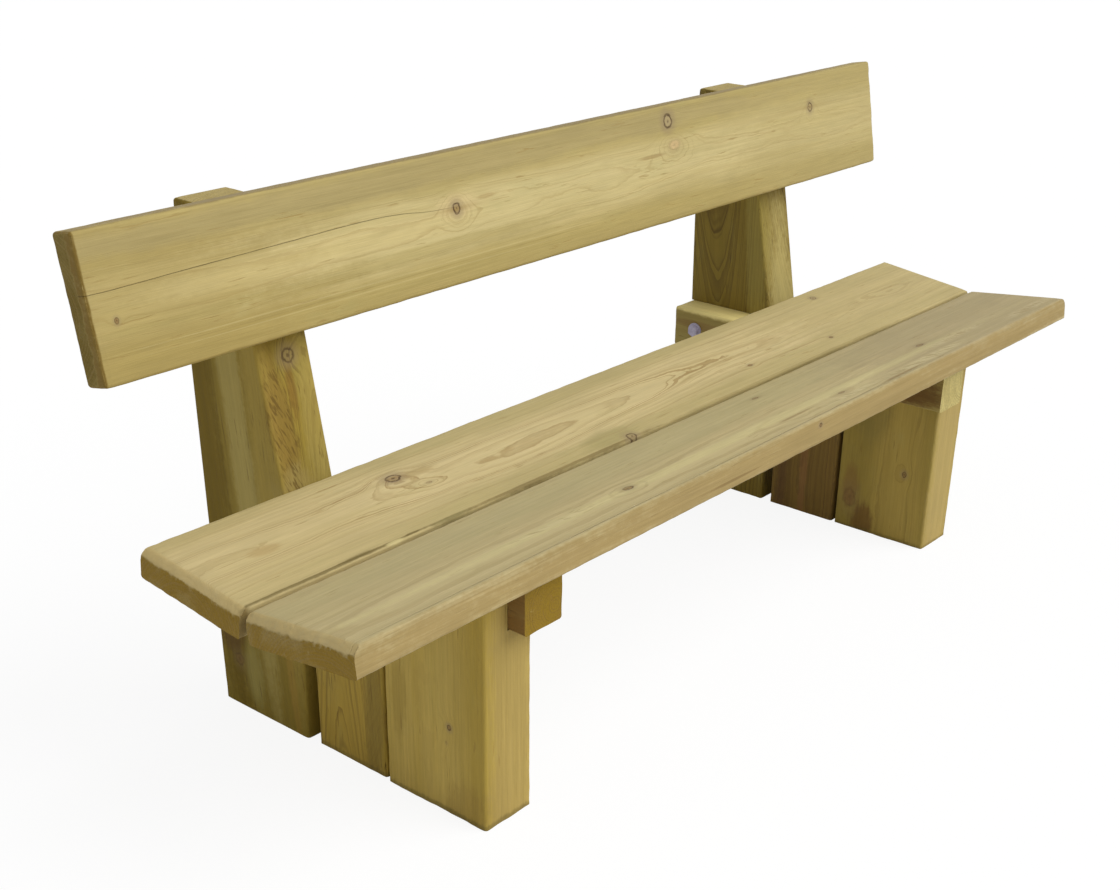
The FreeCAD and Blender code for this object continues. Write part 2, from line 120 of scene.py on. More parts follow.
class Finish:
    # the nodes of one material, or of the sky, put together one at a time
    def __init__(self, owner):
        owner.use_nodes = True
        self.owner = owner
        self.tree = owner.node_tree

    def node(self, kind, settings, inputs, output=0):
        # one node: its kind, its settings, what its sockets hold and which output it gives
        made = self.tree.nodes.new(kind)
        for name, value in settings.items():
            if name == "points":
                curve = made.mapping.curves[0]
                curve.points[0].location = value[0]
                curve.points[1].location = value[-1]
                for point in value[1:-1]:
                    curve.points.new(*point)
                made.mapping.update()
            else:
                setattr(made, name, value)
        for name, value in inputs.items():
            if isinstance(value, Number):
                self.tree.links.new(value.socket, made.inputs[name])
            else:
                made.inputs[name].default_value = value
        return Number(self, made.outputs[output])

    def maths(self, operation, *values):
        return self.node("ShaderNodeMath", {"operation": operation}, dict(enumerate(values)))

    def vectors(self, operation, *values, output=0):
        return self.node("ShaderNodeVectorMath", {"operation": operation},
                         dict(enumerate(values)), output)

    def largest(self, first, *others):
        for other in others:
            first = self.maths("MAXIMUM", first, other)
        return first

    def fading(self, distance):
        # one at no distance, and less and less beyond
        return self.maths("POWER", 1 / math.e, distance)

    def step(self, value, low, high):
        # rises softly from nothing at the low value to one at the high value
        return self.node("ShaderNodeMapRange", {"interpolation_type": "SMOOTHSTEP"},
                         {"Value": value, "From Min": low, "From Max": high})

    def fall(self, value, low, high):
        # drops softly from one at the low value to nothing at the high value
        return 1 - self.step(value, low, high)

    def colours(self, factor, first, second, blend="MIX"):
        # the colour sockets come after the ones for numbers and directions
        return self.node("ShaderNodeMix", {"data_type": "RGBA", "blend_type": blend},
                         {0: factor, 6: first, 7: second}, 2)

    def clouds(self, where, along, across, detail, roughness, seed):
        # soft noise, with its own scale along and across the grain, both per metre
        stretched = self.vectors("MULTIPLY_ADD", where, (along, across, across),
                                 (seed * 3.7, seed * 1.3, seed * 2.1))
        return self.node("ShaderNodeTexNoise", {}, {"Vector": stretched, "Scale": 1.0,
                         "Detail": detail, "Roughness": roughness})

    def show(self, shader):
        # makes a shader the one that the floor or the sky is seen by
        shown = next(node for node in self.tree.nodes if node.name.endswith("Output"))
        self.tree.links.new(shader.socket, shown.inputs["Surface"])

    def finished(self, colour, roughness, height, depth, gloss, metallic=0.0):
        shader = self.tree.nodes["Principled BSDF"]
        relief = self.node("ShaderNodeBump", {}, {"Height": height, "Distance": depth,
                                                  "Strength": 1.0})
        self.tree.links.new(colour.socket, shader.inputs["Base Color"])
        self.tree.links.new(roughness.socket, shader.inputs["Roughness"])
        self.tree.links.new(relief.socket, shader.inputs["Normal"])
        shader.inputs["Specular IOR Level"].default_value = gloss
        shader.inputs["Metallic"].default_value = metallic
        return self.owner


bpy.context.scene.view_settings.view_transform = "Standard"

floor_shape = bmesh.new()
bmesh.ops.create_grid(floor_shape, x_segments=1, y_segments=1, size=FLOOR_SPAN / 2)
floor_mesh = bpy.data.meshes.new("studio_floor")
floor_shape.to_mesh(floor_mesh)
floor_shape.free()
floor = bpy.data.objects.new("studio_floor", floor_mesh)
bpy.context.scene.collection.objects.link(floor)

floor_paint = Finish(bpy.data.materials.new("studio_white"))
floor_seen = floor_paint.node("ShaderNodeLightPath", {}, {}, "Is Camera Ray")
floor_matt = floor_paint.node("ShaderNodeBsdfDiffuse", {}, {"Color": FLOOR_WHITE})
floor_light = floor_paint.node("ShaderNodeEmission", {}, {"Strength": FLOOR_LIFT})
floor_paint.show(floor_paint.node("ShaderNodeMixShader", {}, {
    0: floor_seen * FLOOR_GLOW, 1: floor_matt, 2: floor_light}))
floor.data.materials.append(floor_paint.owner)

sky = Finish(bpy.data.worlds.new("studio_sky"))
sky_rays = [sky.node("ShaderNodeLightPath", {}, {}, f"Is {kind} Ray")
            for kind in ("Camera", "Glossy", "Transmission")]
sky_fill = sky.node("ShaderNodeBackground", {}, {"Color": SKY_WHITE, "Strength": SKY_FILL})
sky_white = sky.node("ShaderNodeBackground", {}, {"Color": SKY_WHITE, "Strength": 1.0})
sky.show(sky.node("ShaderNodeMixShader", {}, {
    0: sky.largest(*sky_rays), 1: sky_fill, 2: sky_white}))
bpy.context.scene.world = sky.owner

lamp = bpy.data.objects.new("broad_lamp", bpy.data.lights.new("broad_lamp", "SUN"))
lamp.data.energy = LAMP_POWER
lamp.data.angle = LAMP_SPREAD
lamp.rotation_mode = "QUATERNION"
lamp.rotation_quaternion = LAMP_FROM.to_track_quat("Z", "Y")
bpy.context.scene.collection.objects.link(lamp)


# Front legs: short wide planks of treated pine stood on end, one under each end of the
# front seat plank, housed on the inside for the bearer and screwed to it.
UP = (0, 0, 1)
BACK = (0, 1, 0)
LEG_CUTS = (0.010, 0.010, 0.012)
WELD = 1e-6
BEYOND = 1e-5
SLIVER = 0.00003
FLAT_WITHIN = 0.004
CREASE = math.radians(38)
ARRIS_REACH = 0.012
ARRIS_WEAR = 0.0007
FACE_SWELL = 0.00025
SEED_STEPS = (7.3, 3.1, 5.7)

# bumps per metre, the coarse ones and the fine ones
SWELL_BUMPS = (9, 27)
WEAR_BUMPS = (42, 130)
TEAR_BUMPS = (38, 240)

# A torn end: -1 for the low end or 1 for the high one, how far in it reaches and how deep
# it bites.
Tear = namedtuple("Tear", "end reach bite")


def sliced(wood, direction, places, faces=None):
    # cuts a piece square to one direction at each place along it, lowest first
    ahead = faces or wood.faces[:]
    for place in sorted(places):
        parts = set(ahead)
        for face in ahead:
            parts.update(face.edges)
            parts.update(face.verts)
        cut = bmesh.ops.bisect_plane(wood, geom=list(parts), dist=WELD,
                                     plane_co=direction * place, plane_no=direction)
        ahead = [part for part in cut["geom"]
                 if isinstance(part, bmesh.types.BMFace)
                 and max(corner.co.dot(direction) for corner in part.verts) > place + BEYOND]


def evenly(low, high, step):
    # places between two ends, a step apart
    count = max(2, round((high - low) / step))
    return [low + (high - low) * number / count for number in range(1, count)]


class Board:
    # One sawn and planed piece: its place, its grain direction and its worked edges.
    def __init__(self, node, origin, along, across):
        self.node = node
        self.origin = Vector(origin)
        self.along = Vector(along).normalized()
        self.across = Vector(across).normalized()
        self.outward = self.along.cross(self.across)
        self.wood = bmesh.new()
        self.wood.from_mesh(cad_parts[node].data)
        bmesh.ops.remove_doubles(self.wood, verts=self.wood.verts, dist=WELD)
        bmesh.ops.dissolve_limit(self.wood, angle_limit=FLAT_WITHIN,
                                 verts=self.wood.verts, edges=self.wood.edges)
        self.low, self.high = self.reach()

    def place(self, point):
        # along, across and outward distances of a point from the board's own corner
        offset = point - self.origin
        return Vector((offset.dot(self.along), offset.dot(self.across), offset.dot(self.outward)))

    def reach(self):
        places = [self.place(corner.co) for corner in self.wood.verts]
        low = Vector([min(place[axis] for place in places) for axis in range(3)])
        high = Vector([max(place[axis] for place in places) for axis in range(3)])
        return low, high

    def divide(self, long_step, wide_step, thick_step, long_extra=()):
        # cuts the faces small, so that the wear has points to move
        directions = (self.along, self.across, self.outward)
        steps = (long_step, wide_step, thick_step)
        extras = (list(long_extra), [], [])
        for axis in range(3):
            base = self.origin.dot(directions[axis])
            places = evenly(self.low[axis], self.high[axis], steps[axis]) + extras[axis]
            sliced(self.wood, directions[axis], [base + place for place in places])

    def refine_end(self, end, span, step):
        # closer cuts across one end, so that its torn edge has points to move
        limit = self.low.x + span if end < 0 else self.high.x - span
        near = []
        for face in self.wood.faces:
            reaches = [self.place(corner.co).x for corner in face.verts]
            if (max(reaches) < limit if end < 0 else min(reaches) > limit):
                near.append(face)
        base = self.origin.dot(self.across)
        sliced(self.wood, self.across,
               [base + place for place in evenly(self.low.y, self.high.y, step)], near)

    def round_end(self, end, bevel, radius):
        # eases the flat bevel at one end into a soft round, only ever cutting deeper
        tangent = bevel + radius * math.tan(math.pi / 8)
        for corner in self.wood.verts:
            place = self.place(corner.co)
            inset = place.x - self.low.x if end < 0 else self.high.x - place.x
            drop = self.high.z - place.z
            reach = tangent - max(inset, drop)
            if 0 < reach < radius * math.sqrt(0.5):
                curve = radius - math.sqrt(radius ** 2 - reach ** 2)
                cut = max(0.0, curve - min(inset, drop))
                corner.co -= self.outward * cut if drop <= inset else self.along * cut * end

    def weather(self, seed, torn=()):
        # soft swell on the faces, worn arrises, and fibres torn away at the ends that are
        # named; all of it goes into the wood, never out of it
        bmesh.ops.dissolve_degenerate(self.wood, edges=self.wood.edges, dist=SLIVER)
        self.wood.normal_update()
        shift = Vector([seed * step for step in SEED_STEPS])
        moves = []
        for corner in self.wood.verts:
            place = self.place(corner.co)
            insets = [min(place[axis] - self.low[axis], self.high[axis] - place[axis])
                      for axis in range(3)]
            edge = max(0.0, 1 - sorted(insets)[1] / ARRIS_REACH)
            coarse, fine = [noise.noise(place * bumps + shift) for bumps in SWELL_BUMPS]
            swell = coarse + 0.6 * fine
            coarse, fine = [noise.noise(place * bumps + shift) for bumps in WEAR_BUMPS]
            wear = coarse + 0.5 * fine
            depth = FACE_SWELL * (1 + swell * 0.6) + ARRIS_WEAR * edge * (0.5 + wear)
            for tear in torn:
                reach = abs(place.x - (self.low.x if tear.end < 0 else self.high.x))
                if reach < tear.reach and place.z > self.high.z - tear.reach * 1.2:
                    fade = 1 - (reach / tear.reach) ** 2
                    across_grain = Vector((0.6 * place.x, place.y, 0))
                    coarse = abs(noise.noise(across_grain * TEAR_BUMPS[0] + shift))
                    fine = abs(noise.noise(place * TEAR_BUMPS[1] + shift))
                    depth += tear.bite * fade * (1.2 * coarse + 0.5 * fine)
            moves.append((corner, corner.normal * max(depth, 0.0)))
        for corner, move in moves:
            corner.co -= move

    def made(self, finish):
        # the finished piece, which notes on each face how squarely it faces along the grain
        for face in self.wood.faces:
            face.smooth = True
        for edge in self.wood.edges:
            edge.smooth = len(edge.link_faces) == 2 and edge.calc_face_angle(0) < CREASE
        mesh = bpy.data.meshes.new(self.node + "_timber")
        self.wood.to_mesh(mesh)
        self.wood.free()
        mesh.materials.append(finish)
        facing = mesh.attributes.new("facing_end", "FLOAT", "CORNER")
        for corner, normal in zip(facing.data, mesh.corner_normals):
            corner.value = abs(normal.vector.dot(self.along))
        piece = bpy.data.objects.new(self.node + "_timber", mesh)
        bpy.context.scene.collection.objects.link(piece)
        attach(piece, "root")
        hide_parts(self.node)


def tint(red, green, blue):
    # a colour read on the 0 to 255 scale, as the light it returns
    shares = [level / 255 for level in (red, green, blue)]
    return tuple(share / 12.92 if share < 0.04045 else ((share + 0.055) / 1.055) ** 2.4
                 for share in shares) + (1,)


KNOT_HEART = tint(134, 104, 62)
KNOT_RIM = tint(74, 54, 34)
KNOT_HALO = tint(146, 126, 98)
CRACK_DARK = tint(84, 66, 34)
GREENED = tint(140, 140, 92)
END_PORES = tint(88, 70, 32)
GRAIN_DEPTH = 0.0004
WOOD_GLOSS = 0.16

# how far a ring strays from a true shell, how the rings crowd and part, where in a ring the
# dark late wood and the soft wood before it rise and fall, and how strongly they show
UNDER_WAVER = -0.8
RING_WIGGLE = 0.0022
RING_BOW = 0.006
CROWDING_PACE = 0.45
CROWDING = 1.3
LATE_RISE = (0.5, 0.93)
LATE_FALL = (0.94, 1.0)
SOFT_RISE = (0.0, 0.9)
SOFT_FALL = (0.9, 1.0)
SOFT_SHARE = 0.16
GATHERED_SHARE = 0.4

# where heartwood, drifts of olive and green, and patches (real stains, and painted light and
# shade) begin and end, and what they show
HEART_WANDER = 0.03
HEART_BOW = 0.02
HEART_BLUR = (-0.012, 0.016)
OLIVE_RISE = (0.0, 0.3)
OLIVE_SHARE = 0.55
GREEN_RISE = (0.02, 0.3)
GREEN_SHARE = 0.22
STAIN_AND_LIGHT_FALL = (0.45, 1.0)
STAIN_AND_LIGHT_HUSH = 0.7

# how far each grain of noise lightens and darkens the wood, and how it turns the blue
WIDE_TONE = 0.22
MIDDLING_TONE = 0.28
FINE_TONE = 0.36
MOTTLE_TONE = 0.24
BLUE_TONE = 0.12

# flecks and torn strokes: their noise, where they rise out of it and how strongly they show
FLECK_GRAIN = (20, 300, 2, 0.5)
FLECK_RISE = (0.62, 0.72)
FLECK_PATCH = (-0.05, 0.12)
TORN_GRAIN = (34, 300, 2, 0.5)
TORN_RISE = (0.48, 0.62)
TORN_SLANT = math.radians(22)
DASH_SHARE = 0.6

# sawn ends: how squarely they face along the grain, their pores, rings and drifts, and the
# lip at their edge
SAWN_FACING = (0.82, 0.95)
PORE_GRAIN = (300, 420, 3, 0.7)
PORE_RISE = (0.4, 0.75)
PORE_SHARE = 0.35
END_RING_SHARE = 0.35
END_OLIVE_RISE = (-0.08, 0.2)
END_OLIVE_SHARE = 0.25
LIP_FACING = (0.1, 0.6)
LIP_BLUR = (0.8, 1.2)

# drying cracks: how they waver, how much of the width is fully open, where along the half
# length they begin to close, their depth, and the room their curve has across
CRACK_WIGGLE = 0.0016
CRACK_CORE = 0.2
CRACK_CLOSES = 0.6
CRACK_DEPTH = 3
CURVE_ROOM = 4

# a knot's heart, rim, eye, halo, bent rings and tail as shares of its radius, how ragged
# they are, and how strongly each shows
HEART_FALL = (0.7, 1.0)
RIM_RISE = (0.62, 0.85)
RIM_FALL = (0.9, 1.18)
EYE_FALL = (0.05, 0.35)
HALO_FALL = (1.0, 2.6)
BEND_REACH = 2.4
BEND_LEAST = 0.006
BEND_WIGGLE = 0.012
TAIL_WIDTH = 0.5
TAIL_LENGTH = 5
TAIL_WIGGLE = 0.006
KNOT_WIGGLE = 0.003
KNOT_BURL = 0.8
EYE_SHARE = 0.7
HALO_SHARE = 0.4
HEART_SHARE = 0.75
HEART_RINGS = 0.12
TAIL_SHARE = 0.6
RIM_SHARE = 0.85
RIM_DEPTH = 1.3

# Where a knot lies along the board and to the side of its middle line, its radius, how far
# it is drawn out along the grain, how far it bends the rings, how strongly its heart, its
# rim and the dark tail in line with it show, and whether it is seen on a face or an edge.
Knot = namedtuple("Knot", "along side radius stretch swirl fill rim tail seen_on",
                  defaults=(0.0, "face"))

# A patch of other colour, used both for real stains and for painted light and shade: its
# middle and how far it reaches, as along, across and outward distances, its colour and
# strength, and how far the grain in it is torn up.
StainOrPaintedLight = namedtuple("StainOrPaintedLight", "centre reach colour amount tearing", defaults=(0.0,))

# The soft edge between a face and a sawn end: its colour, how far it comes down the end
# and its strength.
Lip = namedtuple("Lip", "colour drop strength")

# A drying crack: the line it follows as along and across distances, half its width, its
# darkness, and the middle and half the length of the stretch that is open.
Crack = namedtuple("Crack", "path width strength middle half")


class Pine(Finish):
    # Treated pine, drawn as solid wood. Growth rings are shells round a wandering pith, so
    # faces, edges and end grain all agree. Heartwood shows tan and sapwood olive, where the
    # preservative has gone in.
    def __init__(self, name, board, seed):
        super().__init__(bpy.data.materials.new(name))
        self.board = board
        self.seed = seed
        turn = Matrix((board.along, board.across, board.outward)).transposed().to_euler()
        place = self.node("ShaderNodeTexCoord", {}, {}, "Object")
        self.local = self.node("ShaderNodeMapping", {"vector_type": "TEXTURE"},
                               {"Vector": place, "Location": board.origin, "Rotation": turn})
        parts = self.node("ShaderNodeSeparateXYZ", {}, {0: self.local}).socket.node
        self.along, self.across, self.outward = [Number(self, part) for part in parts.outputs]

        # noise in several grains, from slow drift to single fibres: bumps per metre along
        # and across, levels of detail, roughness, and its place in the board's series
        self.wander = self.grain(1.4, 3, 2, 0.5, 2)
        self.wiggle = self.grain(20, 45, 3, 0.6, 4)
        self.bow = self.grain(5, 24, 2, 0.5, 5)
        self.wide = self.grain(1.3, 36, 3, 0.6, 6)
        self.middling = self.grain(3.5, 150, 3, 0.65, 8)
        self.fine = self.grain(14, 620, 3, 0.65, 9)
        self.mottle = self.grain(9, 20, 3, 0.6, 10)
        self.burl = self.grain(80, 130, 3, 0.65, 12)

    def grain(self, along, across, detail, roughness, place_in_series):
        return self.clouds(self.local, along, across, detail, roughness,
                           self.seed + place_in_series) - 0.5

    def grow_rings(self, pith, spacing, taper, waver, unrest, knots):
        # shells round the pith, bent round each knot, each with its own strength
        side = self.across - pith[0] + self.wander * waver
        under = self.outward - pith[1] + self.wander * (UNDER_WAVER * waver)
        self.shell = self.maths("SQRT", side * side + under * under)
        age = self.shell + self.along * taper
        age = age + self.wiggle * (RING_WIGGLE * unrest) + self.bow * (RING_BOW * unrest)
        self.core = self.rim = self.halo = self.tails = self.gathered = 0.0
        for knot in knots:
            age = age - self.grow_knot(knot) * knot.swirl
        count = age / spacing
        crowd = self.node("ShaderNodeTexNoise", {"noise_dimensions": "1D"},
                          {"W": count * CROWDING_PACE + self.seed, "Detail": 1.0})
        self.count = count + crowd * CROWDING
        phase = self.maths("FRACT", self.count)
        self.late = self.step(phase, *LATE_RISE) * self.fall(phase, *LATE_FALL)
        self.soft = self.step(phase, *SOFT_RISE) * self.fall(phase, *SOFT_FALL)
        rank = self.node("ShaderNodeTexWhiteNoise", {"noise_dimensions": "1D"},
                         {"W": self.maths("FLOOR", self.count)})
        self.strength = (0.3 + 0.7 * rank) * (0.9 + self.mottle * 1.2)

    def grow_knot(self, knot):
        # a knot's heart, rim, halo and tail; what comes back is how near the knot is
        if knot.seen_on == "face":
            spread = (1 / knot.stretch, 1, 0)
            centre = (knot.along / knot.stretch, knot.side, 0)
            sideways = self.across - knot.side
        else:
            spread = (1 / knot.stretch, 0, 1)
            centre = (knot.along / knot.stretch, 0, knot.side)
            sideways = self.outward - knot.side
        scaled = self.vectors("MULTIPLY", self.local, spread)
        gap = self.vectors("DISTANCE", scaled, centre, output=1)
        near = (gap + self.wiggle * BEND_WIGGLE) / (knot.radius * BEND_REACH + BEND_LEAST)
        near = self.fading(near * near)
        self.gathered = self.largest(self.gathered, near * knot.rim)

        share = (gap + self.wiggle * KNOT_WIGGLE) / knot.radius + self.burl * KNOT_BURL
        heart = self.fall(share, *HEART_FALL) * knot.fill
        band = self.step(share, *RIM_RISE) * self.fall(share, *RIM_FALL)
        eye = self.fall(share, *EYE_FALL) * (knot.rim * EYE_SHARE)
        bloom = self.fall(share, *HALO_FALL) * knot.rim
        self.core = self.largest(self.core, heart)
        self.rim = self.largest(self.rim, band * knot.rim * (0.75 + self.burl * 1.2), eye)
        self.halo = self.largest(self.halo, bloom)
        if knot.tail:
            thin = (sideways + self.wiggle * TAIL_WIGGLE) / (knot.radius * TAIL_WIDTH)
            long = self.fading(abs(self.along - knot.along) / (knot.radius * TAIL_LENGTH))
            self.tails = self.largest(self.tails, self.fading(thin * thin) * long * knot.tail)
        return near

    def colour_wood(self, heart, tan, olive):
        # heartwood and sapwood, with drifts of olive and a breath of green
        edge = self.shell + self.wander * HEART_WANDER + self.bow * HEART_BOW
        self.heartwood = self.fall(edge, heart + HEART_BLUR[0], heart + HEART_BLUR[1])
        self.base = self.colours(self.heartwood, olive, tan)
        drift = self.step(self.wide, *OLIVE_RISE) * OLIVE_SHARE
        self.base = self.colours(drift, self.base, olive)
        drift = self.step(self.mottle, *GREEN_RISE) * GREEN_SHARE
        self.base = self.colours(drift, self.base, GREENED)

    def add_stains_and_painted_light(self, stains_and_painted_light):
        # ragged patches of real stain and of painted light and shade, which hush the rings under
        # them; some have torn grain
        ragged = self.mottle * 0.55 + self.middling * 0.5 + self.burl * 0.45
        self.hush = self.torn = 0.0
        for stain_or_light in stains_and_painted_light:
            offset = self.vectors("SUBTRACT", self.local, stain_or_light.centre)
            share = self.vectors("DIVIDE", offset, stain_or_light.reach)
            spread = self.vectors("LENGTH", share, output=1) + ragged
            mask = self.fall(spread, *STAIN_AND_LIGHT_FALL)
            self.base = self.colours(mask * stain_or_light.amount, self.base, stain_or_light.colour)
            self.hush = self.largest(self.hush, mask * (stain_or_light.amount * STAIN_AND_LIGHT_HUSH))
            if stain_or_light.tearing:
                self.torn = self.largest(self.torn, mask * stain_or_light.tearing)

    def draw_rings(self, line, ring_depth):
        # dark late wood at the end of each ring, a soft rise before it, and uneven fibres
        visible = (0.3 + 0.7 * self.heartwood) * (1 - self.hush)
        dark = self.late * self.strength * visible * (ring_depth + self.gathered * GATHERED_SHARE)
        self.base = self.colours(dark, self.base, line)
        soft = self.soft * visible * (ring_depth * SOFT_SHARE)
        self.base = self.colours(soft, self.base, line)
        level = 1.0 + self.wide * WIDE_TONE + self.middling * MIDDLING_TONE
        level = level + self.fine * FINE_TONE + self.mottle * MOTTLE_TONE
        fibres = self.node("ShaderNodeCombineColor", {}, {
            0: level, 1: level, 2: level + self.middling * BLUE_TONE})
        self.base = self.colours(1.0, self.base, fibres, "MULTIPLY")

    def raise_grain(self, line, torn_about):
        # short dark flecks, slanting strokes where the grain is torn, and the relief of both
        flecks = self.clouds(self.local, *FLECK_GRAIN, self.seed + 14)
        dash = self.step(flecks, *FLECK_RISE) * self.step(self.mottle, *FLECK_PATCH)
        if isinstance(self.torn, Number):
            slanted = self.node("ShaderNodeVectorRotate", {"rotation_type": torn_about},
                                {"Vector": self.local, "Angle": TORN_SLANT})
            tears = self.clouds(slanted, *TORN_GRAIN, self.seed + 15)
            dash = self.largest(dash, self.step(tears, *TORN_RISE) * self.torn)
        self.base = self.colours(dash * DASH_SHARE, self.base, line)
        self.height = self.fine * 0.5 + self.middling * 0.5
        self.height = self.height - self.late * self.strength * 0.3 - dash * 0.5

    def darken_knots(self, line):
        # a pale ring of hurt wood, the heart with its own rings, the tail and the dark rim
        grown = self.maths("SINE", self.count * math.tau) * HEART_RINGS
        core = self.core * (HEART_SHARE + grown + self.burl)
        tails = self.tails * (TAIL_SHARE + self.middling)
        self.base = self.colours(self.halo * HALO_SHARE, self.base, KNOT_HALO)
        self.base = self.colours(core, self.base, KNOT_HEART)
        self.base = self.colours(tails, self.base, line)
        self.base = self.colours(self.rim * RIM_SHARE, self.base, KNOT_RIM)
        self.height = self.height - self.rim * RIM_DEPTH

    def saw_ends(self, end, olive, line, lip):
        # darker open grain, and a paler ragged lip where the bevel broke out
        square = self.node("ShaderNodeAttribute", {"attribute_name": "facing_end"}, {}, "Fac")
        self.sawn = self.step(square + self.wiggle * 0.35 + self.burl * 0.2, *SAWN_FACING)
        speck = self.clouds(self.local, *PORE_GRAIN, self.seed)
        colour = self.colours(self.late * END_RING_SHARE, end, line)
        drift = self.step(self.mottle, *END_OLIVE_RISE) * END_OLIVE_SHARE
        colour = self.colours(drift, colour, olive)
        colour = self.colours(self.step(speck, *PORE_RISE) * PORE_SHARE, colour, END_PORES)
        if lip:
            ragged = (self.mottle * 1.6 + self.burl * 0.5) * lip.drop
            below = self.board.high.z - self.outward - ragged
            blur = [lip.drop * share for share in LIP_BLUR]
            self.sawn = self.sawn * self.step(below, *blur)
            edge = self.step(square, *LIP_FACING) * (1 - self.sawn)
            shown = edge * (lip.strength + self.burl + self.mottle)
            self.base = self.colours(shown, self.base, lip.colour)
            self.height = self.height + edge * speck
        self.base = self.colours(self.sawn, self.base, colour)
        self.height = self.height + self.sawn * speck * 2

    def open_crack(self, crack):
        # a thin dark line that wavers along the grain and closes at both its ends
        start = self.board.low.x
        length = self.board.high.x - start
        path = [((along - start) / length, across * CURVE_ROOM) for along, across in crack.path]
        drift = self.node("ShaderNodeFloatCurve", {"points": path},
                          {"Value": (self.along - start) / length}) / CURVE_ROOM
        off_line = abs(self.across - drift + self.wiggle * CRACK_WIGGLE)
        off_middle = abs(self.along - crack.middle)
        opened = self.fall(off_line, crack.width * CRACK_CORE, crack.width)
        opened = opened * self.fall(off_middle, crack.half * CRACK_CLOSES, crack.half)
        opened = opened * (1 - self.sawn)
        shown = opened * (crack.strength + self.middling + self.mottle)
        self.base = self.colours(shown, self.base, CRACK_DARK)
        self.height = self.height - opened * CRACK_DEPTH


def treated_pine(name, board, pith, spacing, heart, tan, olive, line, end, seed, taper=0.006,
                 waver=0.03, unrest=1.0, ring_depth=0.6, knots=(), stains_and_painted_light=(), crack=None,
                 lip=None, torn_about="Z_AXIS"):
    # The finish of one board. The pith's place is across and outward, spacing is the width
    # of a ring, heart the radius of the heartwood, and taper what the rings gain along it.
    wood = Pine(name, board, seed)
    wood.grow_rings(pith, spacing, taper, waver, unrest, knots)
    wood.colour_wood(heart, tan, olive)
    wood.add_stains_and_painted_light(stains_and_painted_light)
    wood.draw_rings(line, ring_depth)
    wood.raise_grain(line, torn_about)
    if knots:
        wood.darken_knots(line)
    wood.saw_ends(end, olive, line, lip)
    if crack:
        wood.open_crack(crack)
    roughness = 0.68 + wood.fine * 0.2 - wood.late * 0.05
    return wood.finished(wood.base, roughness, wood.height, GRAIN_DEPTH, WOOD_GLOSS)


def foot(node):
    # the middle of the left-hand edge of an upright's sawn foot
    soles = [corner.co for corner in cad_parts[node].data.vertices if corner.co.z < WELD]
    fronts = [sole.y for sole in soles]
    return min(sole.x for sole in soles), (min(fronts) + max(fronts)) / 2, 0


def short_board(node, corner, along, across, cuts, seed):
    # a board set out from the corner that is found for it, cut small and worn
    board = Board(node, corner(node), along, across)
    board.divide(*cuts)
    board.weather(seed)
    return board


LEG_TAN = tint(194, 169, 90)
LEG_OLIVE = tint(174, 149, 68)
LEG_LINE = tint(146, 118, 58)
FOOT_END = tint(140, 116, 58)
FOOT_DARK = tint(112, 98, 50)

left_leg = short_board("left_front_leg", foot, UP, BACK, LEG_CUTS, 1)
left_leg_finish = treated_pine(
    "pine_left_front_leg", left_leg, pith=(0.02, -0.13), spacing=0.0046, heart=0.150,
    tan=LEG_TAN, olive=LEG_OLIVE, line=LEG_LINE, end=FOOT_END, seed=1.0, ring_depth=0.22,
    knots=[Knot(0.147, -0.030, 0.0042, 1.2, 0.004, 0.8, 1.0),
           Knot(0.120, -0.024, 0.0022, 1.4, 0.002, 0.3, 0.3)],
    # painted light: the patch on the next line gives the front face its own darker tone, apart
    # from the side faces, so the difference between lit front and shaded side is painted into the
    # colour
    stains_and_painted_light=[StainOrPaintedLight((0.20, -0.100, -0.055), (0.60, 0.010, 0.060), tint(170, 146, 84), 0.75),
            StainOrPaintedLight((0.16, 0.070, 0), (0.10, 0.020, 0.03), tint(158, 134, 62), 0.5),
            StainOrPaintedLight((0.24, -0.010, 0), (0.14, 0.030, 0.03), tint(190, 168, 92), 0.4),
            StainOrPaintedLight((0.02, -0.060, 0), (0.06, 0.050, 0.03), tint(140, 112, 54), 0.35),
            # painted shade: the patch on the next line darkens the top of the leg's left-hand
            # face, under the seat
            StainOrPaintedLight((0.37, 0.02, 0), (0.08, 0.12, 0.03), tint(146, 122, 62), 0.5),
            StainOrPaintedLight((0.0, 0.0, 0.0), (0.012, 0.3, 0.3), FOOT_DARK, 0.6)])
left_leg.made(left_leg_finish)

